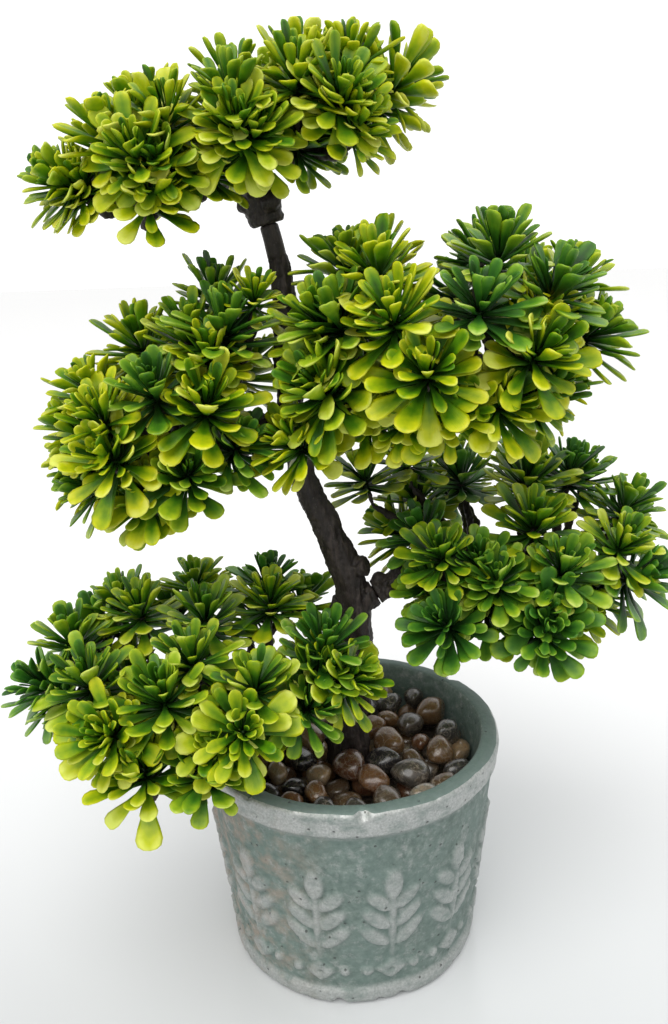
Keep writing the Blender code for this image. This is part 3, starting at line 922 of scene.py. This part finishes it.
# %% Draw and spin the pot
POT_HEIGHT, POT_TOP, POT_BASE = 0.076, 0.050, 0.042
POT_WALL, POT_FLOOR = 0.006, 0.009
BAND_PROUD, TOP_BAND, BASE_BAND = 0.0012, 0.0095, 0.0065
TOP_SOFT, BASE_SOFT = 0.0016, 0.0014  # height over which a band's edge fades
RIM_ROUND, FOOT_ROUND = 0.0022, 0.0018  # height over which an edge is rounded
RIM_CUT, FOOT_CUT = 0.0016, 0.0014  # how far the rounding draws it in
FINE_STEP, POT_TURNS = 0.00068, 420
SEED = 0.0005  # half the size of the plane that the chain grows from


def ease(t):
    """Rises smoothly from 0 to 1 while t does."""
    t = min(max(t, 0), 1)
    return t * t * (3 - 2 * t)


def wall_radius(z):
    """Outer radius of the wall at a height, with its two soft bands and rounded edges."""
    radius = POT_BASE + (POT_TOP - POT_BASE) * z / POT_HEIGHT - BAND_PROUD
    top = ease((z - (POT_HEIGHT - TOP_BAND)) / TOP_SOFT)
    radius += BAND_PROUD * (top + ease((BASE_BAND - z) / BASE_SOFT))
    rim = max(z - (POT_HEIGHT - RIM_ROUND), 0) / RIM_ROUND
    foot = max(FOOT_ROUND - z, 0) / FOOT_ROUND
    return radius - RIM_CUT * rim**2.2 - FOOT_CUT * foot**2


def pot_profile():
    """(radius, height) from the underside's middle to the middle of the floor inside."""
    points = [(0.0, 0.0), (0.020, 0.0), (0.034, 0.0)]
    points += [(wall_radius(z), z) for z in np.arange(0, POT_HEIGHT, FINE_STEP)]
    rim_out, rim_in = wall_radius(POT_HEIGHT) - 0.0006, POT_TOP - POT_WALL
    points += [
        (rim_out, POT_HEIGHT), (rim_out - 0.0015, POT_HEIGHT), (rim_in + 0.0012, POT_HEIGHT),
        (rim_in + 0.0004, POT_HEIGHT - 0.0003), (rim_in, POT_HEIGHT - 0.0010),
    ]
    inside = np.linspace(POT_HEIGHT - 0.003, POT_FLOOR, 14)
    points += [(rim_in - (POT_TOP - POT_BASE) * (POT_HEIGHT - z) / POT_HEIGHT, z) for z in inside]
    return points + [(0.0, POT_FLOOR)]


profile = pot_profile()
nothing()
bpy.ops.mesh.primitive_plane_add(size=2 * SEED, location=(0, 0, 0))
pot = named("cement_pot")
edit()
pick(pot, lambda p: not (p.x < 0 and p.y < 0))
bpy.ops.mesh.delete(type="VERT")
bpy.ops.mesh.select_all(action="SELECT")
bpy.ops.transform.translate(value=(SEED, SEED, 0))
for (r0, z0), (r1, z1) in zip(profile, profile[1:]):
    bpy.ops.mesh.extrude_vertices_move(TRANSFORM_OT_translate={"value": (r1 - r0, 0, z1 - z0)})
bpy.ops.mesh.select_all(action="SELECT")
bpy.ops.mesh.spin(steps=POT_TURNS, angle=2 * math.pi, center=(0, 0, 0), axis=(0, 0, 1))
bpy.ops.mesh.select_all(action="SELECT")
bpy.ops.mesh.remove_doubles(threshold=2e-5)
bpy.ops.mesh.normals_make_consistent(inside=False)
bpy.ops.object.mode_set(mode="OBJECT")
print("pot faces:", faces_of(pot))

# %% [markdown]
# ## The raised pattern
#
# The pot wears a generic pattern: a row of upright leaf sprigs and, under it, a band of lozenges
# and dots. Each shape is a rule that says how deep inside it a point of the wall is, and the
# points inside are lifted. The lift is kept as an attribute, so that the silver paint can find it.

# %% Press the pattern
SPRIGS = 12
RELIEF_HEIGHT, RELIEF_EDGE, WEAR = 0.0013, 0.0011, 0.0003
PATTERN_LOW, PATTERN_HIGH, PATTERN_RADIUS = 0.008, 0.056, 0.0455
SPRIG_ROWS = (0.0255, 0.0325, 0.0395)
BAND_MIDDLE, LOZENGE, HOLLOW, LOZENGE_WALL = 0.0135, 0.0042, 0.0014, 0.0007
DOT_PLACE, DOT_RADIUS = 0.0080, 0.0017


def in_ellipse(x, y, cx, cy, long_half, short_half, tilt):
    """How far inside an ellipse a point is, in metres along its short axis (negative outside)."""
    c, s = math.cos(tilt), math.sin(tilt)
    u, w = (x - cx) * c + (y - cy) * s, -(x - cx) * s + (y - cy) * c
    return (1 - math.hypot(u / long_half, w / short_half)) * short_half


def sprig(x, z):
    """Depth inside an upright sprig: a stem, three pairs of leaves and a leaf at the tip."""
    depth = in_ellipse(x, z, 0, 0.0335, 0.0130, 0.0012, math.pi / 2)
    depth = max(depth, in_ellipse(x, z, 0, 0.0480, 0.0054, 0.0027, math.pi / 2))
    for row, height in enumerate(SPRIG_ROWS):
        reach = 0.0060 - 0.0006 * row
        for side in (-1, 1):
            place = (side * reach * 0.92, height + 0.0022)
            depth = max(depth, in_ellipse(x, z, *place, reach, 0.0023, side * math.radians(42)))
    return depth


def lower_band(x, z):
    """Depth inside a band of hollow lozenges with dots between them."""
    height = z - BAND_MIDDLE
    from_heart = abs(x) * 0.80 + abs(height)
    depth = LOZENGE - from_heart
    hollow = HOLLOW - from_heart
    if hollow > -LOZENGE_WALL:
        depth = min(depth, LOZENGE_WALL - hollow)
    for dot in (-DOT_PLACE, DOT_PLACE):
        depth = max(depth, DOT_RADIUS - math.hypot(x - dot, height))
    return depth


relief = pot.data.attributes.new("relief", "FLOAT", "POINT")
moves = []
for i, v in enumerate(pot.data.vertices):
    radius = math.hypot(v.co.x, v.co.y)
    outer = radius > wall_radius(min(v.co.z, POT_HEIGHT)) - 1e-4 and v.co.z > 1e-5
    lift = 0.0
    if outer and PATTERN_LOW < v.co.z < PATTERN_HIGH:
        angle = math.atan2(v.co.y, v.co.x) / (2 * math.pi) * SPRIGS
        x = (angle - math.floor(angle) - 0.5) * 2 * math.pi * PATTERN_RADIUS / SPRIGS
        worn = noise.noise(v.co * 160) * WEAR
        depth = max(sprig(x, v.co.z), lower_band(x, v.co.z)) + worn
        lift = ease(depth / RELIEF_EDGE + 0.5)
        lift *= 0.85 + 0.3 * noise.noise(v.co * 420)
    relief.data[i].value = lift
    moves.append((outer, lift))
for v, (outer, lift) in zip(pot.data.vertices, moves):
    out = Vector((v.co.x, v.co.y, 0)).normalized() if v.co.xy.length > 1e-4 else Vector((0, 0, 0))
    if outer:
        cast = noise.noise(v.co * 45) * 0.0005 + noise.noise(v.co * 380) * 0.00016
        v.co += out * (RELIEF_HEIGHT * lift + cast)
    elif v.co.z > POT_HEIGHT - 0.002:
        v.co.z += noise.noise(v.co * 130) * 0.0003 + noise.noise(v.co * 600) * 0.00008
pot.data.update()
print("raised points:", sum(1 for _, lift in moves if lift > 0.5))

# %% [markdown]
# ## Chips and nicks
#
# Cast cement chips: there are nicks in the rim and small bites along the foot. Each one is a soft
# dent that draws the nearby points towards the middle of the wall.

# %% Chip the edges
CHIPS = (  # angle in degrees, height, reach, depth
    (-86, 0.0755, 0.0030, 0.0014), (-60, 0.0758, 0.0016, 0.0007), (-128, 0.0757, 0.0018, 0.0008),
    (38, 0.0755, 0.0035, 0.0012), (145, 0.0757, 0.0022, 0.0010),
    (-98, 0.0008, 0.0028, 0.0013), (-80, 0.0006, 0.0018, 0.0010), (-70, 0.0008, 0.0026, 0.0009),
    (-112, 0.0006, 0.0016, 0.0009), (10, 0.0008, 0.0024, 0.0011), (120, 0.0007, 0.0028, 0.0012),
    (-150, 0.0007, 0.0020, 0.0010),
)
CHIP_SLOPE = 0.6  # how steeply a chip draws the edge up or down
chipped = 0
for angle, height, reach, depth in CHIPS:
    r = wall_radius(height)
    centre = Vector((r * math.cos(math.radians(angle)), r * math.sin(math.radians(angle)), height))
    inward = Vector((-centre.x, -centre.y, 0)).normalized()
    inward.z = CHIP_SLOPE if height < POT_HEIGHT / 2 else -CHIP_SLOPE
    for v in pot.data.vertices:
        gap = (v.co - centre).length / reach
        if gap < 1:
            v.co += inward * depth * (1 - gap * gap) ** 2
            chipped += 1
for v in pot.data.vertices:
    v.co.z = max(v.co.z, 0.0)
smooth(pot)
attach(pot, "pot_and_trunk")
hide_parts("pot")
print("chips:", len(CHIPS), "points moved:", chipped)

# %% [markdown]
# ## Painted cement
#
# A grey-green wash covers the cement, thinner in some places so that it looks mottled. Silver was
# dry-brushed over it and stays on what stands proud. A little copper shows through on one side.
# Pinholes from trapped air and the brush marks go in the bump, and the pinholes are also darkened
# in the colour as painted shade inside them.

# %% Cement material
cement, place = new_material("painted_cement")
height = axis_of(place, "Z")
cloud = noise_at(place, 55.0, 4.0, 0.6)
mottle = noise_at(place, 420.0, 4.0, 0.65)
grit = noise_at(place, 1500.0, 3.0, 0.6)
wash = ramp(mottle, (
    (0.30, (0.088, 0.130, 0.114)),
    (0.48, (0.134, 0.184, 0.162)),
    (0.62, (0.190, 0.242, 0.218)),
    (0.78, (0.320, 0.360, 0.334)),
))
wash = mix(ramp(cloud, ((0.35, 0.0), (0.65, 0.45))), wash, (0.150, 0.222, 0.200))
copper_side = map_range(axis_of(place, "X"), -0.004, -0.044, 0.0, 0.8)
rust = ramp(noise_at(place, 160.0, 4.0, 0.65), ((0.42, 0.0), (0.66, 1.0)))
wash = mix(times(copper_side, rust), wash, (0.46, 0.32, 0.25))

# What stands proud: the outside of the rim, the foot and the pattern.
rim_edge = POT_HEIGHT - TOP_BAND
rim_zone = map_range(height, rim_edge - 0.001, rim_edge + 0.002)
foot_zone = map_range(height, BASE_BAND + 0.0012, BASE_BAND - 0.001)
flat_place = stretched(place, (1.0, 1.0, 0.0))
from_axis = add_node("VectorMath", {0: flat_place}, operation="LENGTH")
outside = maths("GREATER_THAN", from_axis.outputs["Value"], POT_TOP - POT_WALL / 2)
lifted = add_node("Attribute", attribute_name="relief").outputs["Fac"]
zones = ((lifted, 0.72), (times(rim_zone, outside), 0.86), (foot_zone, 0.72))
lifted, rim_zone, foot_zone = (times(zone, share) for zone, share in zones)
proud = maths("MAXIMUM", lifted, maths("MAXIMUM", rim_zone, foot_zone))

# Silver on what stands proud, a thin film of it elsewhere, and little on the rim's flat top.
brushed = noise_at(stretched(place, (1.0, 1.0, 2.0)), 130.0, 4.0, 0.6)
worn = ramp(brushed, ((0.30, 0.30), (0.52, 1.0)))
film = ramp(noise_at(place, 240.0, 5.0, 0.72), ((0.52, 0.0), (0.72, 0.55)))
silver_share = maths("MAXIMUM", maths("MULTIPLY", proud, worn, clamp=True), film)
upright = axis_of(add_node("NewGeometry").outputs["Normal"], "Z")
flat_rim = times(maths("GREATER_THAN", upright, 0.80), 0.85)
silver_share = times(silver_share, maths("SUBTRACT", 1.0, flat_rim))
silver = ramp(grit, ((0.30, (0.36, 0.37, 0.36)), (0.70, (0.60, 0.61, 0.60))))
colour = mix(silver_share, wash, silver)
colour = mix(times(flat_rim, 0.75), colour, (0.110, 0.165, 0.150))
pores = add_node("TexVoronoi", {"Vector": place, "Scale": 260.0, "Randomness": 1.0})
pinhole = ramp(pores.outputs["Distance"], ((0.06, 1.0), (0.13, 0.0)))
# Painted shade: the colour is darkened in the pinholes, for the shade inside them.
colour = mix(times(pinhole, 0.7), colour, (0.045, 0.055, 0.050))
skin = bump(mottle, 0.55, 0.0005)
skin = bump(grit, 0.45, 0.00022, skin)
skin = bump(maths("SUBTRACT", 1.0, pinhole), 0.8, 0.0006, skin)
polish = times(silver_share, 0.24)
dress([pot], cement, {
    "Base Color": colour,
    "Metallic": times(silver_share, 0.55),
    "Roughness": maths("SUBTRACT", linear(mottle, 0.25, 0.50), polish),
    "Normal": skin,
})

# %% [markdown]
# ## Pebbles
#
# The pebbles are river stones, tumbled smooth and lacquered. Each starts as a ball that is
# flattened and pushed out of true, and six of them are enough: every stone in the pot is a copy
# that is turned, scaled and coloured by chance.

# %% Six stones
STONE_KINDS, BLUNT_FACES = 6, 7


def make_stone(kind):
    """A worn stone less than one unit long, flattened, with a few blunt faces."""
    luck = random.Random(40 + kind)
    nothing()
    bpy.ops.mesh.primitive_ico_sphere_add(subdivisions=3, radius=0.5, location=(0, 0, 0))
    stone = named(f"stone_{kind}")
    edit()
    for _ in range(BLUNT_FACES):
        way = Vector((luck.uniform(-1, 1), luck.uniform(-1, 1), luck.uniform(-0.6, 0.6)))
        way.normalize()
        reach = luck.uniform(0.33, 0.42)
        pick(stone, lambda p: p.dot(way) > reach)
        bpy.ops.transform.translate(value=tuple(-way * luck.uniform(0.06, 0.11)))
    bpy.ops.mesh.select_all(action="SELECT")
    bpy.ops.transform.resize(value=(1.0, luck.uniform(0.72, 0.88), luck.uniform(0.55, 0.70)))
    bpy.ops.mesh.vertices_smooth(factor=0.5, repeat=2)
    smooth(stone)
    return stone


stones = [make_stone(kind) for kind in range(STONE_KINDS)]
print("stone faces:", [faces_of(stone) for stone in stones])

# %% [markdown]
# ## Settle the pebbles
#
# The pebbles are settled by rule. Discs are pushed apart in a ring round the trunk, once for a
# bottom layer and once for a top layer. Each stone of the top layer is raised from the bottom
# layer by what the stones under it ask for, and at most to the top layer's own height.

# %% Settle and scatter
BED_INNER, BED_OUTER = 0.0095, 0.0412
LOW_LAYER, TOP_LAYER = 0.0614, 0.0684  # heights of the stones' middles
LAYER_STONES, PUSHES, PUSH_SHARE = 46, 260, 0.25
FLATNESS = 0.72  # flat stones stack lower than balls
STONE_TONE = "stone_tone"


def spread_discs(count, seed, radii):
    """Places discs in the ring round the trunk and pushes them apart."""
    rng = np.random.default_rng(seed)
    angle = rng.uniform(0, 2 * np.pi, count)
    reach = np.sqrt(rng.uniform(BED_INNER**2, BED_OUTER**2, count))
    spots = np.stack([reach * np.cos(angle), reach * np.sin(angle)], 1)
    for _ in range(PUSHES):
        gap = spots[:, None] - spots[None]
        far = np.linalg.norm(gap, axis=2) + 1e-9
        push = np.clip(radii[:, None] + radii[None] - far, 0, None)
        np.fill_diagonal(push, 0)
        spots = spots + (gap / far[..., None] * push[..., None]).sum(1) * PUSH_SHARE
        from_middle = np.linalg.norm(spots, axis=1)
        kept = np.clip(from_middle, BED_INNER + radii * 0.6, BED_OUTER - radii * 0.75)
        spots = spots * (kept / from_middle)[:, None]
    return spots


rng = np.random.default_rng(5)
low_radii = rng.uniform(0.0044, 0.0058, LAYER_STONES)
low_spots = spread_discs(LAYER_STONES, 11, low_radii)
top_radii = rng.uniform(0.0040, 0.0063, LAYER_STONES)
top_spots = spread_discs(LAYER_STONES, 23, top_radii)


def lay_stone(name, spot, radius, height, luck):
    """A turned, scaled and toned copy of one of the stones, with its middle at a height."""
    stone = copy_of(stones[luck.randrange(STONE_KINDS)], name)
    size = radius * 2 * luck.uniform(1.08, 1.26)
    turn = Matrix.Rotation(luck.uniform(0, 2 * math.pi), 4, "Z")
    tilt = Matrix.Rotation(math.radians(luck.uniform(-24, 24)), 4, "X")
    roll = Matrix.Rotation(math.radians(luck.uniform(-20, 20)), 4, "Y")
    where = Matrix.Translation((spot[0], spot[1], height))
    stone.data.transform(where @ turn @ tilt @ roll @ Matrix.Scale(size, 4))
    layer = stone.data.attributes.new(STONE_TONE, "FLOAT_COLOR", "POINT")
    tone = (luck.random(), luck.random(), luck.random(), 1.0)
    layer.data.foreach_set("color", np.tile(np.array(tone, np.float32), len(stone.data.vertices)))
    return stone


luck = random.Random(3)
bed = [
    lay_stone(f"low_stone_{i}", s, r, LOW_LAYER + luck.uniform(-0.0006, 0.0006), luck)
    for i, (s, r) in enumerate(zip(low_spots, low_radii))
]
for i, (s, r) in enumerate(zip(top_spots, top_radii)):
    gap = np.linalg.norm(low_spots - s, axis=1)
    under = gap < low_radii + r
    near = (low_radii + r)[under]
    lift = np.sqrt(np.clip(near**2 - gap[under] ** 2, 0, None)).max(initial=0)
    height = min(LOW_LAYER + FLATNESS * lift, TOP_LAYER + luck.uniform(-0.0007, 0.0009))
    bed.append(lay_stone(f"top_stone_{i}", s, r, height, luck))
pebbles = join(bed, "pebbles")
for stone in stones:
    bpy.data.objects.remove(stone)
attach(pebbles, "pot_and_trunk")
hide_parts("pebble_layer")
tops = [v.co.z for v in pebbles.data.vertices]
print("pebble faces:", faces_of(pebbles), "top", round(max(tops), 4), "lowest", round(min(tops), 4))

# %% [markdown]
# ## Lacquered stone
#
# River stones come in brown, tan, grey and near black, with clouds and pale veins. The stone's
# tone picks the colour and also moves the veins, so that no two stones match. A clear coat gives
# the wet look.

# %% Stone material
river_stone, place = new_material("lacquered_stone")
tone = add_node("Attribute", attribute_name=STONE_TONE).outputs["Color"]
split = add_node("SeparateColor", {"Color": tone})
moved = add_node("VectorMath", {0: place, 1: tone}, operation="ADD").outputs[0]
cloud = noise_at(moved, 260.0, 4.0, 0.6)
kind = maths("ADD", split.outputs[0], centred(cloud, 0.22), clamp=True)
rock = ramp(kind, (
    (0.00, (0.008, 0.007, 0.008)),
    (0.18, (0.022, 0.020, 0.020)),
    (0.34, (0.055, 0.050, 0.042)),
    (0.48, (0.100, 0.058, 0.026)),
    (0.62, (0.200, 0.104, 0.040)),
    (0.76, (0.085, 0.030, 0.014)),
    (0.90, (0.330, 0.205, 0.098)),
    (1.00, (0.180, 0.168, 0.140)),
))
swirl = noise_at(moved, 180.0, 3.0, 0.5, 2.2)
near_middle = maths("ABSOLUTE", maths("SUBTRACT", swirl, 0.5))
vein = ramp(near_middle, ((0.0, 1.0), (0.035, 0.0)))
vein = times(vein, times(split.outputs[1], 0.6))
rock = mix(vein, rock, (0.42, 0.36, 0.29))
speck = noise_at(moved, 1300.0, 3.0, 0.65)
rock = mix(ramp(speck, ((0.50, 0.0), (0.72, 0.6))), rock, (0.03, 0.025, 0.02))
dress([pebbles], river_stone, {
    "Base Color": rock,
    "Roughness": linear(speck, 0.22, 0.18),
    "Normal": bump(cloud, 0.35, 0.0005),
    "Coat Weight": 0.55,
    "Coat Roughness": 0.08,
})

# %% [markdown]
# ## The hidden parts
#
# The foam block and the steel core are seen only when the pot or the trunk is taken apart. Their
# CAD shapes are right, so they only get finishes: foam with open cells, and drawn steel with fine
# lines along it.

# %% Foam and wire
foam, place = new_material("brown_foam")
cells = add_node("TexVoronoi", {"Vector": place, "Scale": 700.0})
browns = mix(noise_at(place, 90.0), (0.055, 0.038, 0.026), (0.105, 0.078, 0.055))
dress([frame["nodes"]["foam_block"]], foam, {
    "Base Color": browns,
    "Roughness": 0.92,
    "Normal": bump(cells.outputs["Distance"], 0.8, 0.0008),
})

steel, place = new_material("drawn_steel")
lines = noise_at(stretched(place, (1.0, 1.0, 0.05)), 4000.0, 2.0)
dress([frame["nodes"]["trunk_wire"]], steel, {
    "Base Color": ramp(lines, ((0.3, (0.30, 0.30, 0.31)), (0.7, (0.52, 0.52, 0.53)))),
    "Metallic": 1.0,
    "Roughness": linear(lines, 0.3, 0.25),
    "Normal": bump(lines, 0.3, 0.0001),
})
